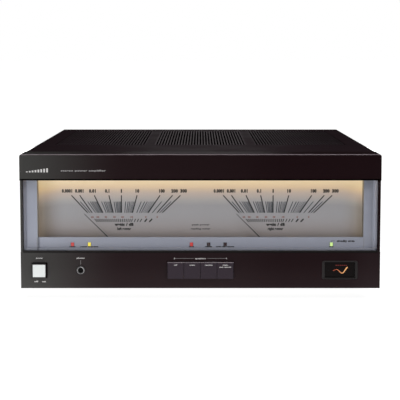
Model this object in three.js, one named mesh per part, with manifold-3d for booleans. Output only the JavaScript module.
// Stereo power amplifier: a full-width hi-fi component with two illuminated power meters.
//
// Millimetres, +Z up. The front faces -Y and +X is to the right of someone looking at the front.
// The origin is on the surface the feet stand on, in the middle of the outer box.

import * as THREE from 'three';
import { mergeVertices } from 'three/addons/utils/BufferGeometryUtils.js';
import Module from 'manifold-3d';

const wasm = await Module();
wasm.setup();

// ---------------------------------------------------------------- driving dimensions

const WIDTH = 450; // across the front panel
const HEIGHT = 185; // floor to the top of the front panel
const DEPTH = 438; // face of the power button to the tips of the speaker terminals
const FOOT_HEIGHT = 16; // floor to the underside of the front panel
const GAP = 0.3; // clearance kept between pieces that touch
const PAST = 1; // how far a cutting tool runs past the face it cuts

// Planes from front to back.
const FRONT = -DEPTH / 2;
const REAR = DEPTH / 2;
const LOWER_FACE = FRONT + 5; // the lower panel
const BAND_FACE = LOWER_FACE - 1.5; // the upper band stands a little proud
const CHEEK_FACE = LOWER_FACE + 1.5; // the side walls beside the window are set back
const PANEL_WALL = 4; // the upper band's thickness
const PANEL_DEPTH = 34;
const PANEL_BACK = BAND_FACE + PANEL_DEPTH;
const GLASS_FACE = BAND_FACE + PANEL_WALL + GAP + 0.3;
const GLASS_THICKNESS = 3;
const SURROUND_FACE = BAND_FACE + 12;
const SURROUND_WALL = 3;
const DIAL_FACE = SURROUND_FACE + 10.5;
const DIAL_THICKNESS = 1.5;

// Heights of the front's main lines.
const WINDOW_BOTTOM = 62.2;
const WINDOW_TOP = 152.2;
const STRIP_TOP = 78.8; // top of the surround's indicator strip
const INDICATOR_Z = 69.7;
const CONTROL_Z = 38.9; // centre line of the controls on the lower panel

const WINDOW_HALF = WIDTH / 2 - 2.7; // half the window's width, between the side walls
const DIAL_HALF = 205.2; // half the distance between the surround's uprights

// Meters.
const METERS = [
  { side: 'left', x: -100 },
  { side: 'right', x: 92 },
];
const PIVOT_Z = 61;
const PIVOT_RADIUS = 1;
const NEEDLE_LENGTH = 65.6;
const NEEDLE_REST = THREE.MathUtils.degToRad(-45); // leaning left at no signal
const NEEDLE_BACK = DIAL_FACE - 4.2;

// Controls, as positions across the lower panel.
const POWER_X = -201.5;
const POWER_BUTTON = 16.6;
const POWER_HOLE = 19.6;
const JACK_X = -150;
const JACK_OUTER = 5.25;
const JACK_BORE = 3.3;
const SELECTOR_PITCH = 20.7;
const SELECTOR_BUTTON = 20.2;
const SELECTOR_NAMES = ['off', 'main', 'remote', 'both'];
const STATUS_X = 174.8;
const STATUS_WIDTH = 45;
const STATUS_HEIGHT = 24;
const LENS_WIDTH = 38;
const LENS_HEIGHT = 19.8;
const STEM_END = FRONT + 29; // where the stems of all the buttons end
const SWITCH_FACE = STEM_END - 3;

const INDICATORS = [
  { name: 'indicator_power', x: -161.2, lit: 0xff2a1a },
  { name: 'indicator_operation', x: -140, lit: 0xffd820 },
  { name: 'indicator_main', x: -11.3, lit: 0xff2a1a },
  { name: 'indicator_remote', x: 10.3, lit: 0x301414 },
  { name: 'indicator_both', x: 31.2, lit: 0x301414 },
  { name: 'indicator_status', x: 165.1, lit: 0xd8f060 },
];

// Case.
const SHEET = 1.4; // sheet metal thickness
const COVER_HALF = 223.8;
const COVER_TOP = HEIGHT - 0.4;
const COVER_BOTTOM = FOOT_HEIGHT + 1;
const COVER_BACK = REAR - 18.5;
const PAN_BOTTOM = FOOT_HEIGHT + 2;
const PAN_HALF = COVER_HALF - SHEET - GAP * 2;
const PAN_FRONT = PANEL_BACK + 0.5;
const PAN_BACK = COVER_BACK - 4;
const PAN_FLOOR = PAN_BOTTOM + SHEET;
const FLANGE_TOP = PAN_BOTTOM + 15;
const REAR_FACE = PAN_BACK + GAP + SHEET; // outside face of the rear panel

const SLOT_PITCH = 4;
const SLOT_WIDTH = 2.2;
const SLOTS_PER_FIELD = 31;
const SLOT_FRONT = -80;
const SLOT_BACK = 162;
const SLOT_FIELDS = [-138, 0, 138];

const SCREW_Z = 26;
const SCREW_YS = [-130, 150];
const FOOT_RADIUS = 25;
const FOOT_X = 170;
const FOOT_YS = { front: -115, rear: 150 };

// Electronics.
const SINK_INNER = 86; // the heat sinks' flat sides, from the centre line
const SINK_FRONT = -60;
const SINK_BACK = 140;
const SINK_FINS = 15;
const BOARD = 1.6;

// Back.
const INPUT_X = -165;
const INPUT_Z = 105;
const INPUT_SPACING = 22;
const TERMINAL_X = 20;
const TERMINAL_Z = 92;
const TERMINAL_PITCH = 27;
const TERMINAL_ROW = 30;
const TERMINAL_COLUMNS = ['remote_right', 'remote_left', 'main_right', 'main_left'];
const INLET_X = 178;
const INLET_Z = 62;

// ---------------------------------------------------------------- solids

// A closed three.js geometry as a manifold solid.
function solid(geometry) {
  const bare = new THREE.BufferGeometry();
  bare.setAttribute('position', geometry.getAttribute('position'));
  bare.setIndex(geometry.index);
  const merged = mergeVertices(bare, 1e-4);
  const mesh = new wasm.Mesh({
    numProp: 3,
    vertProperties: merged.getAttribute('position').array,
    triVerts: new Uint32Array(merged.index.array),
  });
  return new wasm.Manifold(mesh);
}

function geometryOf(manifold) {
  const mesh = manifold.getMesh();
  const geometry = new THREE.BufferGeometry();
  geometry.setAttribute('position', new THREE.BufferAttribute(mesh.vertProperties, 3));
  geometry.setIndex(new THREE.BufferAttribute(mesh.triVerts, 1));
  geometry.computeVertexNormals();
  return geometry;
}

const join = (...solids) => solids.reduce((all, next) => all.add(next));
const cut = (body, ...tools) => tools.reduce((left, tool) => left.subtract(tool), body);

// A box between two corners, given as [from, to] along each axis.
function box([x0, x1], [y0, y1], [z0, z1]) {
  const geometry = new THREE.BoxGeometry(x1 - x0, y1 - y0, z1 - z0);
  return solid(geometry.translate((x0 + x1) / 2, (y0 + y1) / 2, (z0 + z1) / 2));
}

const around = (centre, size) => [centre - size / 2, centre + size / 2];

// A rectangle drawn in x and z, centred on a point, with rounded corners.
function roundedRectangle(x, z, width, height, radius) {
  const [left, right] = around(x, width);
  const [bottom, top] = around(z, height);
  const shape = new THREE.Shape();
  shape.moveTo(left + radius, bottom);
  shape.lineTo(right - radius, bottom);
  shape.absarc(right - radius, bottom + radius, radius, -Math.PI / 2, 0);
  shape.absarc(right - radius, top - radius, radius, 0, Math.PI / 2);
  shape.absarc(left + radius, top - radius, radius, Math.PI / 2, Math.PI);
  shape.absarc(left + radius, bottom + radius, radius, Math.PI, 1.5 * Math.PI);
  return shape;
}

// A shape drawn in x and z, as seen from the front, filled from y0 back to y1.
function frontPrism(shape, y0, y1, curveSegments = 4) {
  const geometry = new THREE.ExtrudeGeometry(shape, { depth: y1 - y0, bevelEnabled: false, curveSegments });
  return solid(geometry.rotateX(Math.PI / 2).translate(0, y1, 0));
}

// A shape drawn in y and z, as seen from the right, filled from x0 to x1.
function sidePrism(shape, x0, x1) {
  const geometry = new THREE.ExtrudeGeometry(shape, { depth: x1 - x0, bevelEnabled: false });
  const toSide = new THREE.Matrix4().makeBasis(
    new THREE.Vector3(0, 1, 0),
    new THREE.Vector3(0, 0, 1),
    new THREE.Vector3(1, 0, 0),
  );
  return solid(geometry.applyMatrix4(toSide).translate(x0, 0, 0));
}

// A shape drawn in x and y, as seen from above, filled from z0 up to z1.
function topPrism(shape, z0, z1, curveSegments = 4) {
  const geometry = new THREE.ExtrudeGeometry(shape, { depth: z1 - z0, bevelEnabled: false, curveSegments });
  return solid(geometry.translate(0, 0, z0));
}

const polygon = (points) => new THREE.Shape(points.map(([x, y]) => new THREE.Vector2(x, y)));

// A round rod along y.
function rod(x, z, radius, y0, y1, sides = 16) {
  const geometry = new THREE.CylinderGeometry(radius, radius, y1 - y0, sides);
  return solid(geometry.translate(x, (y0 + y1) / 2, z));
}

// A round body standing along z, from a profile of [radius, height] points that starts and ends on the axis.
function turned(profile, sides = 24) {
  const points = profile.map(([radius, height]) => new THREE.Vector2(radius, height));
  return solid(new THREE.LatheGeometry(points, sides).rotateX(Math.PI / 2));
}

// ---------------------------------------------------------------- materials

const material = (color, roughness, metalness) =>
  new THREE.MeshStandardMaterial({ color, roughness, metalness });

const blackPanel = material(0x231c1e, 0.42, 0.3);
const blackCover = material(0x1d1a1c, 0.6, 0.2);
const zincSteel = material(0xa8a9a4, 0.45, 0.8);
const silverPaint = material(0x9ba0ac, 0.4, 0.5);
const dialPaint = material(0xb5b0a8, 0.7, 0.0);
const clearAcrylic = material(0xf4f7f8, 0.05, 0.0);
const whitePlastic = material(0xf2f2f0, 0.35, 0.0);
const blackPlastic = material(0x141214, 0.5, 0.0);
const redPlastic = material(0xa81818, 0.4, 0.0);
const greyPlastic = material(0x5a5a5c, 0.5, 0.0);
const plating = material(0xc9c9c6, 0.2, 1.0);
const aluminium = material(0x8d9094, 0.4, 0.9);
const transformerPaint = material(0x202124, 0.5, 0.4);
const capacitorSleeve = material(0x1b2a4a, 0.4, 0.0);
const circuitBoard = material(0x9a6a35, 0.6, 0.0);
const lampGlass = material(0xffe2b0, 0.3, 0.0);
const darkLens = material(0x150808, 0.1, 0.0);
const rubber = material(0x101010, 0.9, 0.0);

const amplifier = new THREE.Group();

// Adds one piece to a group, at a place given as [x, y, z].
function piece(group, name, shape, finish, [x, y, z] = [0, 0, 0]) {
  const mesh = new THREE.Mesh(geometryOf(shape), finish);
  mesh.name = name;
  mesh.position.set(x, y, z);
  group.add(mesh);
  return mesh;
}

// ---------------------------------------------------------------- front panel

function frontPanel() {
  const corner = 3;
  const chamfer = 0.9;
  const wall = 3;
  const left = -WIDTH / 2;
  const right = WIDTH / 2;
  const outline = new THREE.Shape();
  outline.moveTo(left, FOOT_HEIGHT);
  outline.lineTo(right, FOOT_HEIGHT);
  outline.absarc(right - corner, HEIGHT - corner, corner, 0, Math.PI / 2);
  outline.absarc(left + corner, HEIGHT - corner, corner, Math.PI / 2, Math.PI);
  const across = [left - PAST, right + PAST];
  const beforeBand = BAND_FACE - PAST;
  const inside = box(
    [-WINDOW_HALF, WINDOW_HALF],
    [BAND_FACE + PANEL_WALL, PANEL_BACK + PAST],
    [FOOT_HEIGHT + wall, HEIGHT - wall],
  );
  const windowOpening = box(
    [-WINDOW_HALF, WINDOW_HALF],
    [beforeBand, PANEL_BACK],
    [WINDOW_BOTTOM, WINDOW_TOP],
  );
  const lowerSetback = box(across, [beforeBand, LOWER_FACE], [FOOT_HEIGHT - PAST, WINDOW_BOTTOM]);
  const cheekSetback = box(across, [beforeBand, CHEEK_FACE], [WINDOW_BOTTOM, WINDOW_TOP]);
  const edgeOfBand = (z, step) =>
    polygon([
      [beforeBand, z - step * (chamfer + PAST)],
      [beforeBand, z + step * PAST],
      [BAND_FACE + chamfer + PAST, z + step * PAST],
    ]);
  const topChamfer = sidePrism(edgeOfBand(HEIGHT, 1), ...across);
  const selectorWidth = SELECTOR_PITCH * SELECTOR_NAMES.length + 0.6;
  const through = [LOWER_FACE - PAST, BAND_FACE + PANEL_WALL + PAST];
  return cut(
    frontPrism(outline, BAND_FACE, PANEL_BACK),
    inside,
    windowOpening,
    lowerSetback,
    cheekSetback,
    topChamfer,
    box(around(POWER_X, POWER_HOLE), through, around(CONTROL_Z, POWER_HOLE)),
    rod(JACK_X, CONTROL_Z, JACK_OUTER + GAP, ...through, 24),
    box(around(0, selectorWidth), through, around(CONTROL_Z, SELECTOR_BUTTON + 1)),
    frontPrism(roundedRectangle(STATUS_X, CONTROL_Z, STATUS_WIDTH, STATUS_HEIGHT, 3), ...through),
  );
}

function windowGlass() {
  const overlap = 5; // how far the pane reaches behind the panel, above and below
  return box(
    [-WINDOW_HALF + GAP, WINDOW_HALF - GAP],
    [GLASS_FACE, GLASS_FACE + GLASS_THICKNESS],
    [WINDOW_BOTTOM - overlap, WINDOW_TOP + overlap],
  );
}

// The silver frame round the dial: two uprights with an inward slope at the window's edge, a strip below the
// dial with a hole for each indicator, and a low sill in front of the strip.
function windowSurround() {
  const outer = WINDOW_HALF - 2 * GAP;
  const sillFront = GLASS_FACE + GLASS_THICKNESS + GAP;
  const slopeWidth = 3.3;
  const bottom = WINDOW_BOTTOM - 5;
  const top = WINDOW_TOP + 5;
  const wall = [SURROUND_FACE, SURROUND_FACE + SURROUND_WALL];
  const throughWall = [wall[0] - PAST, wall[1] + PAST];
  const upright = (side) => {
    const span = (a, b) => (side < 0 ? [-b, -a] : [a, b]);
    const front = box(span(DIAL_HALF, outer), wall, [bottom, top]);
    const inward = box(span(DIAL_HALF, DIAL_HALF + 2), [wall[0], DIAL_FACE - GAP], [STRIP_TOP - 1, top]);
    const slope = [
      [side * outer, sillFront],
      [side * outer, wall[1]],
      [side * (outer - slopeWidth), wall[1]],
      [side * (outer - slopeWidth), wall[0]],
    ];
    return join(front, inward, topPrism(polygon(side < 0 ? slope : slope.reverse()), bottom, top));
  };
  const strip = box([-outer, outer], wall, [bottom, STRIP_TOP]);
  const sill = box([-outer, outer], [sillFront, wall[1]], [bottom, WINDOW_BOTTOM + 3.4]);
  const holes = INDICATORS.map(({ x }) => box(around(x, 4), throughWall, around(INDICATOR_Z, 4.8)));
  return cut(join(upright(-1), upright(1), strip, sill), ...holes);
}

function dialPlate() {
  const bottom = PIVOT_Z + 9;
  return box(
    [-DIAL_HALF + GAP, DIAL_HALF - GAP],
    [DIAL_FACE, DIAL_FACE + DIAL_THICKNESS],
    [bottom, WINDOW_TOP + 5],
  );
}

// A moving-coil movement behind the dial. Its boss reaches forward under the dial and ends in the pivot pin.
function meterMovement() {
  const front = DIAL_FACE + DIAL_THICKNESS + GAP;
  const housing = box([-21, 21], [front, front + 20], [-20, 23]);
  const magnet = rod(0, 0, 16, front + 20 - PAST, front + 28, 24);
  const boss = rod(0, 0, 6, NEEDLE_BACK + 0.5, front + PAST);
  const pin = rod(0, 0, PIVOT_RADIUS, SURROUND_FACE + SURROUND_WALL + GAP, NEEDLE_BACK + PAST, 12);
  return join(housing, magnet, boss, pin);
}

// A needle standing upright on its pivot, with a short tail that balances it.
function meterNeedle() {
  const hubDepth = 2.2;
  const hubFront = NEEDLE_BACK - hubDepth;
  const bladeBack = NEEDLE_BACK - 0.7;
  const bladeFront = bladeBack - 0.6;
  const hub = rod(0, 0, 4, hubFront, NEEDLE_BACK);
  const outline = polygon([
    [-0.9, -9],
    [0.9, -9],
    [0.3, NEEDLE_LENGTH],
    [-0.3, NEEDLE_LENGTH],
  ]);
  const blade = frontPrism(outline, bladeFront, bladeBack);
  const weight = box([-2, 2], [hubFront, NEEDLE_BACK], [-13, -8]);
  const bore = rod(0, 0, PIVOT_RADIUS + GAP, hubFront - PAST, NEEDLE_BACK + PAST, 12);
  return cut(join(hub, blade, weight), bore);
}

// An inverted trough above the dial, open downwards, that throws the lamp's light onto it.
function lampReflector() {
  const bottom = WINDOW_TOP + 5.6;
  const front = GLASS_FACE + GLASS_THICKNESS + 0.6;
  const back = DIAL_FACE + DIAL_THICKNESS;
  const wall = 1;
  return cut(
    box([-203, 203], [front, back], [bottom, bottom + 12.4]),
    box([-203 - PAST, 203 + PAST], [front + wall, back - wall], [bottom - PAST, bottom + 11.4]),
  );
}

function meterLamp() {
  const glass = new THREE.CylinderGeometry(3, 3, 380, 16);
  const cap = new THREE.CylinderGeometry(3.6, 3.6, 394, 16);
  const ends = solid(cap).subtract(solid(new THREE.CylinderGeometry(5, 5, 378, 16)));
  const tube = join(solid(glass), ends);
  return solid(geometryOf(tube).rotateZ(Math.PI / 2));
}

// ---------------------------------------------------------------- controls

// A push button: a square cap with its stem behind it. Its face is at y = 0.
function pushButton(width, height, capDepth, stem, stemEnd) {
  return join(
    box(around(0, width), [0, capDepth], around(0, height)),
    box(around(0, stem), [capDepth - PAST, stemEnd], around(0, stem)),
  );
}

// A switch body with one square hole in its face for each stem.
function switchBody(width, height, depth, holes, holeSize, holeDepth) {
  const body = box(around(0, width), [0, depth], around(0, height));
  return cut(body, ...holes.map((x) => box(around(x, holeSize), [-PAST, holeDepth], around(0, holeSize))));
}

function headphoneJack() {
  const bushFront = LOWER_FACE - 1.2;
  const bodyFront = BAND_FACE + PANEL_WALL + GAP;
  const bodyBack = bodyFront + 24;
  const bush = rod(0, 0, JACK_OUTER, bushFront, bodyFront + PAST, 24);
  const body = box([-8, 8], [bodyFront, bodyBack], [-7.5, 7.5]);
  const bore = rod(0, 0, JACK_BORE, bushFront - PAST, bodyBack - 2, 16);
  return cut(join(bush, body), bore);
}

function statusBezel() {
  const front = LOWER_FACE + 0.4;
  const back = LOWER_FACE + 9;
  const outline = roundedRectangle(0, 0, STATUS_WIDTH - 2 * GAP, STATUS_HEIGHT - 2 * GAP, 2.7);
  return cut(
    frontPrism(outline, front, back),
    box(around(0, LENS_WIDTH + 3), [front - PAST, front + 1.2], around(0, LENS_HEIGHT + 1.6)),
    box(around(0, LENS_WIDTH), [front, front + 6], around(0, LENS_HEIGHT)),
    box(around(0, LENS_WIDTH - 4), [front, back + PAST], around(0, LENS_HEIGHT - 4)),
  );
}

function statusLens() {
  const front = LOWER_FACE + 4;
  return box(
    around(0, LENS_WIDTH - 2 * GAP),
    [front, front + 2],
    around(0, LENS_HEIGHT - 2 * GAP),
  );
}

// ---------------------------------------------------------------- case

// The bottom sheet with low side flanges, a rear flange and a front wall, all bent up from one piece.
function baseChassis() {
  const along = [PAN_FRONT, PAN_BACK];
  const floor = box([-PAN_HALF, PAN_HALF], along, [PAN_BOTTOM, PAN_FLOOR]);
  const flange = (side) => {
    const x = side < 0 ? [-PAN_HALF, -PAN_HALF + SHEET] : [PAN_HALF - SHEET, PAN_HALF];
    return box(x, along, [PAN_BOTTOM, FLANGE_TOP]);
  };
  const frontWall = box([-218, 218], [PAN_FRONT, PAN_FRONT + SHEET], [PAN_BOTTOM, HEIGHT - 6]);
  const rearFlange = box([-218, 218], [PAN_BACK - SHEET, PAN_BACK], [PAN_BOTTOM, FLANGE_TOP]);
  const wallCut = [PAN_FRONT - PAST, PAN_FRONT + SHEET + PAST];
  const selectorWidth = SELECTOR_PITCH * SELECTOR_NAMES.length + 4;
  const wallOpenings = [
    box(around(POWER_X + 0.5, 27), wallCut, around(CONTROL_Z, 24)),
    box(around(0, selectorWidth), wallCut, around(CONTROL_Z, 21)),
    ...METERS.map(({ x }) => box(around(x, 45), wallCut, [PIVOT_Z - 22, PIVOT_Z + 25])),
  ];
  const vents = [];
  for (const side of [-1, 1]) {
    for (let i = 0; i < 8; i += 1) {
      const y = -50 + i * 24;
      vents.push(box(around(side * 115, 62), [y, y + 4], [PAN_BOTTOM - PAST, PAN_FLOOR + PAST]));
    }
  }
  const screwHoles = SCREW_YS.map((y) => {
    const bore = new THREE.CylinderGeometry(2.1, 2.1, WIDTH, 12).rotateZ(Math.PI / 2);
    return solid(bore.translate(0, y, SCREW_Z));
  });
  const pan = join(floor, flange(-1), flange(1), frontWall, rearFlange);
  return cut(pan, ...wallOpenings, ...vents, ...screwHoles);
}

// The folded cover: top and two sides, with three fields of narrow slots over the heat sinks and transformer.
function topCover() {
  const bend = 2.4;
  const outline = new THREE.Shape();
  outline.moveTo(-COVER_HALF, COVER_BOTTOM);
  outline.lineTo(-COVER_HALF + SHEET, COVER_BOTTOM);
  outline.absarc(-COVER_HALF + bend, COVER_TOP - bend, bend - SHEET, Math.PI, Math.PI / 2, true);
  outline.absarc(COVER_HALF - bend, COVER_TOP - bend, bend - SHEET, Math.PI / 2, 0, true);
  outline.lineTo(COVER_HALF - SHEET, COVER_BOTTOM);
  outline.lineTo(COVER_HALF, COVER_BOTTOM);
  outline.absarc(COVER_HALF - bend, COVER_TOP - bend, bend, 0, Math.PI / 2);
  outline.absarc(-COVER_HALF + bend, COVER_TOP - bend, bend, Math.PI / 2, Math.PI);
  const throughTop = [COVER_TOP - SHEET - PAST, HEIGHT + PAST];
  const slots = [];
  for (const centre of SLOT_FIELDS) {
    for (let i = 0; i < SLOTS_PER_FIELD; i += 1) {
      const x = centre + (i - (SLOTS_PER_FIELD - 1) / 2) * SLOT_PITCH;
      slots.push(box(around(x, SLOT_WIDTH), [SLOT_FRONT, SLOT_BACK], throughTop));
    }
  }
  const screwHoles = SCREW_YS.map((y) => {
    const bore = new THREE.CylinderGeometry(2.1, 2.1, WIDTH + 2 * PAST, 12).rotateZ(Math.PI / 2);
    return solid(bore.translate(0, y, SCREW_Z));
  });
  return cut(frontPrism(outline, PANEL_BACK + GAP, COVER_BACK, 3), ...slots, ...screwHoles);
}

function rearPanel() {
  const through = [PAN_BACK, REAR_FACE + PAST];
  return cut(
    box([-PAN_HALF, PAN_HALF], [PAN_BACK + GAP, REAR_FACE], [PAN_BOTTOM, COVER_TOP - SHEET - GAP]),
    box(around(INPUT_X, 19), through, around(INPUT_Z, 43)),
    box(around(TERMINAL_X, 101), through, around(TERMINAL_Z, 49)),
    box(around(INLET_X, 29), through, around(INLET_Z, 21)),
  );
}

// A round foot: a hard body, wider at the floor, with a recess for its screw.
function foot() {
  const top = PAN_BOTTOM - GAP;
  return turned([
    [0, 7],
    [6, 7],
    [6, 0],
    [FOOT_RADIUS - 1.2, 0],
    [FOOT_RADIUS, 1.2],
    [FOOT_RADIUS, 6],
    [FOOT_RADIUS - 4, top],
    [0, top],
  ], 20);
}

// A cover screw lying along x: its low head is outside, just off x = 0, and its shank points to -x.
function coverScrew() {
  const profile = [
    [0, -7.5],
    [1.7, -7],
    [1.7, GAP],
    [4.6, GAP],
    [3.8, GAP + 0.8],
    [0, GAP + 0.8],
  ];
  return solid(geometryOf(turned(profile, 12)).rotateY(Math.PI / 2));
}

// ---------------------------------------------------------------- electronics

function powerTransformer() {
  const [width, depth, height] = [122, 116, 112];
  const bottom = PAN_FLOOR + GAP;
  const can = roundedRectangle(0, 0, width, depth, 12);
  const base = roundedRectangle(0, 0, width + 14, depth + 14, 2);
  const lid = roundedRectangle(0, 0, width + 3, depth + 3, 13);
  return join(
    topPrism(base, bottom, bottom + 3),
    topPrism(can, bottom, bottom + height),
    topPrism(lid, bottom + height - 8, bottom + height - 4),
  );
}

function filterCapacitor() {
  const bottom = PAN_FLOOR + GAP;
  const can = turned([
    [0, bottom],
    [30.5, bottom],
    [31.5, bottom + 1],
    [31.5, bottom + 104],
    [30, bottom + 107],
    [28, bottom + 107],
    [28, bottom + 105],
    [0, bottom + 105],
  ]);
  const stud = (x) =>
    solid(new THREE.CylinderGeometry(4, 4, 7, 12).rotateX(Math.PI / 2).translate(x, 0, bottom + 108));
  return join(can, stud(-12), stud(12));
}

// Seen from above, a comb: a thick plate along y with fins that point outwards, to -x.
function heatSink() {
  const bottom = PAN_FLOOR + 8;
  const top = bottom + 125;
  const plate = box([-6, 0], [SINK_FRONT, SINK_BACK], [bottom, top]);
  const fins = [];
  for (let i = 0; i < SINK_FINS; i += 1) {
    const y = SINK_FRONT + (i / (SINK_FINS - 1)) * (SINK_BACK - SINK_FRONT - 2);
    fins.push(box([-58, -5], [y, y + 2], [bottom, top]));
  }
  return join(plate, ...fins);
}

// A power transistor on its side: tab against the heat sink at x = 0, leads down.
function outputTransistor() {
  const lead = (y) => box([1.6, 2.4], [y - 0.6, y + 0.6], [-24, -9]);
  return join(
    box([0, 1.8], [-8, 8], [-10, 14]),
    box([1, 5], [-8, 8], [-10, 9]),
    lead(-5.4),
    lead(0),
    lead(5.4),
  );
}

// A driver board standing beside the heat sink, its components facing the middle of the case.
function amplifierBoard() {
  const along = [SINK_FRONT + 8, SINK_BACK - 8];
  const bottom = PAN_FLOOR + 14;
  const board = box([0, BOARD], along, [bottom, bottom + 92]);
  const parts = [];
  for (let i = 0; i < 6; i += 1) {
    const y = along[0] + 18 + i * 29;
    const can = new THREE.CylinderGeometry(5, 5, 9, 8).rotateZ(Math.PI / 2);
    parts.push(solid(can.translate(BOARD + 4, y, bottom + 22)));
    parts.push(box([BOARD - 0.5, BOARD + 5], [y - 6, y + 6], [bottom + 48, bottom + 53]));
    parts.push(box([BOARD - 0.5, BOARD + 3], [y - 2, y + 8], [bottom + 68, bottom + 71]));
  }
  return join(board, ...parts);
}

// The supply board stands on two rails and carries the rectifier, fuses, relay and small capacitors.
function powerSupplyBoard() {
  const bottom = PAN_FLOOR + GAP;
  const top = bottom + 8;
  const board = box([-62, 62], [58, 150], [top, top + BOARD]);
  const rail = (x) => box([x - 3, x + 3], [60, 148], [bottom, top + 0.5]);
  const on = top + BOARD - 0.5;
  const rectifier = box([-14, 14], [64, 92], [on, on + 12]);
  const relay = box([22, 50], [104, 140], [on, on + 28]);
  const fuse = (y) => box([-56, -28], [y, y + 7], [on, on + 9]);
  const can = (x, y) =>
    solid(new THREE.CylinderGeometry(8, 8, 26, 12).rotateX(Math.PI / 2).translate(x, y, on + 12));
  const cans = [can(-44, 120), can(-20, 120), can(38, 78)];
  return join(board, rail(-50), rail(50), rectifier, relay, fuse(68), fuse(82), ...cans);
}

// ---------------------------------------------------------------- back

function inputSocketBlock() {
  const face = REAR_FACE + GAP;
  const plate = box([-11, 11], [face, face + 2], [-24, 24]);
  const body = box([-9, 9], [face - 13, face + 0.5], [-21, 21]);
  const barrels = [-1, 1].map((side) => rod(0, side * INPUT_SPACING / 2, 4.15, face + 1, face + 11, 20));
  const bores = [-1, 1].map((side) => rod(0, side * INPUT_SPACING / 2, 1.7, face, face + 12, 12));
  return cut(join(plate, body, ...barrels), ...bores);
}

// The moulded block with a threaded stud and a shoulder for each of the eight caps.
function speakerTerminalBlock() {
  const face = REAR_FACE + GAP;
  const plate = box([-56, 56], [face, face + 2.5], [-31, 31]);
  const body = box([-50, 50], [face - 13, face + 0.5], [-24, 24]);
  const posts = [];
  for (const [x, z] of terminalPlaces()) {
    posts.push(rod(x, z, 5, face + 2, face + 4.6, 12));
    posts.push(rod(x, z, 2, face + 4, face + 16, 8));
  }
  return join(plate, body, ...posts);
}

// Where the terminals are, from the middle of the block: four columns, plus above minus.
function terminalPlaces() {
  const places = [];
  TERMINAL_COLUMNS.forEach((_, column) => {
    const x = (column - (TERMINAL_COLUMNS.length - 1) / 2) * TERMINAL_PITCH;
    places.push([x, TERMINAL_ROW / 2], [x, -TERMINAL_ROW / 2]);
  });
  return places;
}

// A fluted screw cap: closed at the back end, with a blind hole for the stud.
function terminalCap() {
  const front = REAR_FACE + GAP + 5;
  const flutes = 9;
  const outline = new THREE.Shape();
  for (let i = 0; i < flutes * 2; i += 1) {
    const angle = (i / (flutes * 2)) * 2 * Math.PI;
    const radius = i % 2 ? 6.5 : 7.4;
    outline[i ? 'lineTo' : 'moveTo'](radius * Math.cos(angle), radius * Math.sin(angle));
  }
  return cut(
    join(frontPrism(outline, front + 2.5, REAR), rod(0, 0, 6, front, front + 3, 12)),
    rod(0, 0, 2 + GAP, front - PAST, REAR - 2, 8),
  );
}

// A recessed three-pin inlet with a screw flange.
function mainsInlet() {
  const face = REAR_FACE + GAP;
  const flange = frontPrism(roundedRectangle(0, 0, 50, 23, 4), face, face + 2.6);
  const body = box([-13.8, 13.8], [face - 18, face + 0.5], [-9.8, 9.8]);
  const mouth = polygon([
    [-12, -8],
    [12, -8],
    [12, 4],
    [8, 8],
    [-8, 8],
    [-12, 4],
  ]);
  const cavity = frontPrism(mouth, face - 16, face + 2.6 + PAST);
  const pin = (x, z) => box(around(x, 2), [face - 16.5, face - 1], around(z, 4));
  const screwHole = (x) => rod(x, 0, 1.8, face - PAST, face + 2.6 + PAST, 12);
  const shell = cut(join(flange, body), cavity, screwHole(-20), screwHole(20));
  return join(shell, pin(-7, -2), pin(7, -2), pin(0, 2));
}

// ---------------------------------------------------------------- assembly

function addFront() {
  const front = new THREE.Group();
  piece(front, 'front_panel', frontPanel(), blackPanel);
  piece(front, 'window_glass', windowGlass(), clearAcrylic);
  piece(front, 'window_surround', windowSurround(), silverPaint);
  piece(front, 'dial_plate', dialPlate(), dialPaint);
  piece(front, 'lamp_reflector', lampReflector(), whitePlastic);
  piece(front, 'meter_lamp', meterLamp(), lampGlass, [0, SURROUND_FACE + 3.4, WINDOW_TOP + 12]);
  for (const { side, x } of METERS) {
    piece(front, `meter_movement_${side}`, meterMovement(), blackPlastic, [x, 0, PIVOT_Z]);
    const needle = piece(front, `meter_needle_${side}`, meterNeedle(), blackPlastic, [x, 0, PIVOT_Z]);
    needle.rotation.y = NEEDLE_REST;
  }
  const led = box([-1.8, 1.8], [-0.3, 7], [-2.2, 2.2]);
  for (const { name, x, lit } of INDICATORS) {
    piece(front, name, led, material(lit, 0.3, 0), [x, SURROUND_FACE, INDICATOR_Z]);
  }
  return front;
}

function addControls() {
  const controls = new THREE.Group();
  controls.position.z = CONTROL_Z;
  const stemLength = STEM_END - FRONT;
  const holeDepth = 9;
  const powerButton = pushButton(POWER_BUTTON, POWER_BUTTON, 15, 6, stemLength);
  piece(controls, 'power_button', powerButton, whitePlastic, [POWER_X, FRONT, 0]);
  const powerSwitch = switchBody(24, 20, 32, [0], 7, holeDepth);
  piece(controls, 'power_switch', powerSwitch, blackPlastic, [POWER_X, SWITCH_FACE, 0]);
  piece(controls, 'headphone_jack', headphoneJack(), plating, [JACK_X, 0, 0]);
  const inset = 1; // the speaker buttons stand a little less far out than the power button
  const places = SELECTOR_NAMES.map((_, i) => (i - (SELECTOR_NAMES.length - 1) / 2) * SELECTOR_PITCH);
  const selectorButton = pushButton(SELECTOR_BUTTON, SELECTOR_BUTTON, 13, 5, stemLength - inset);
  SELECTOR_NAMES.forEach((name, i) => {
    piece(controls, `speaker_button_${name}`, selectorButton, blackPlastic, [places[i], FRONT + inset, 0]);
  });
  const bank = switchBody(84, 17, 26, places, 6, holeDepth);
  piece(controls, 'speaker_switch_bank', bank, greyPlastic, [0, SWITCH_FACE, 0]);
  piece(controls, 'status_bezel', statusBezel(), blackPlastic, [STATUS_X, 0, 0]);
  piece(controls, 'status_lens', statusLens(), darkLens, [STATUS_X, 0, 0]);
  return controls;
}

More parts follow.
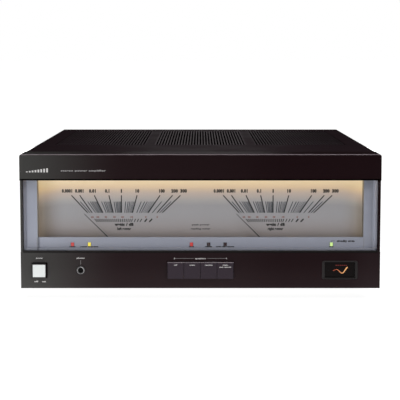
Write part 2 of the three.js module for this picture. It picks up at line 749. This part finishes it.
function addCase() {
  const group = new THREE.Group();
  piece(group, 'base_chassis', baseChassis(), zincSteel);
  piece(group, 'rear_panel', rearPanel(), blackCover);
  piece(group, 'top_cover', topCover(), blackCover);
  for (const [end, y] of Object.entries(FOOT_YS)) {
    piece(group, `foot_${end}_left`, foot(), rubber, [-FOOT_X, y, 0]);
    piece(group, `foot_${end}_right`, foot(), rubber, [FOOT_X, y, 0]);
  }
  SCREW_YS.forEach((y, i) => {
    const end = i ? 'rear' : 'front';
    piece(group, `cover_screw_${end}_right`, coverScrew(), plating, [COVER_HALF, y, SCREW_Z]);
    const left = piece(group, `cover_screw_${end}_left`, coverScrew(), plating, [-COVER_HALF, y, SCREW_Z]);
    left.rotation.z = Math.PI;
  });
  return group;
}

function addElectronics() {
  const group = new THREE.Group();
  piece(group, 'power_transformer', powerTransformer(), transformerPaint, [0, -98, 0]);
  piece(group, 'power_supply_board', powerSupplyBoard(), circuitBoard);
  const halves = [
    { side: 'left', turn: 0, sign: -1 },
    { side: 'right', turn: Math.PI, sign: 1 },
  ];
  for (const { side, turn, sign } of halves) {
    piece(group, `filter_capacitor_${side}`, filterCapacitor(), capacitorSleeve, [sign * 33, 8, 0]);
    // The right half is the left half turned about the middle of the heat sink, so that its fins point to +x.
    const half = new THREE.Group();
    half.position.set(sign * SINK_INNER, (SINK_FRONT + SINK_BACK) / 2, 0);
    half.rotation.z = turn;
    const content = new THREE.Group();
    content.position.y = -(SINK_FRONT + SINK_BACK) / 2;
    half.add(content);
    group.add(half);
    piece(content, `heat_sink_${side}`, heatSink(), aluminium);
    piece(content, `amplifier_board_${side}`, amplifierBoard(), circuitBoard, [8, 0, 0]);
    const ends = turn ? ['rear', 'front'] : ['front', 'rear'];
    ends.forEach((end, i) => {
      const place = [GAP, 5 + i * 70, 120];
      piece(content, `output_transistor_${side}_${end}`, outputTransistor(), blackPlastic, place);
    });
  }
  return group;
}

function addBack() {
  const group = new THREE.Group();
  piece(group, 'input_socket_block', inputSocketBlock(), plating, [INPUT_X, 0, INPUT_Z]);
  piece(group, 'mains_inlet', mainsInlet(), blackPlastic, [INLET_X, 0, INLET_Z]);
  piece(group, 'speaker_terminal_block', speakerTerminalBlock(), blackPlastic, [TERMINAL_X, 0, TERMINAL_Z]);
  terminalPlaces().forEach(([x, z], i) => {
    const pole = i % 2 ? 'minus' : 'plus';
    const name = `terminal_cap_${TERMINAL_COLUMNS[Math.floor(i / 2)]}_${pole}`;
    const finish = pole === 'plus' ? redPlastic : blackPlastic;
    piece(group, name, terminalCap(), finish, [TERMINAL_X + x, 0, TERMINAL_Z + z]);
  });
  return group;
}

amplifier.add(addFront(), addControls(), addCase(), addElectronics(), addBack());

export default amplifier;
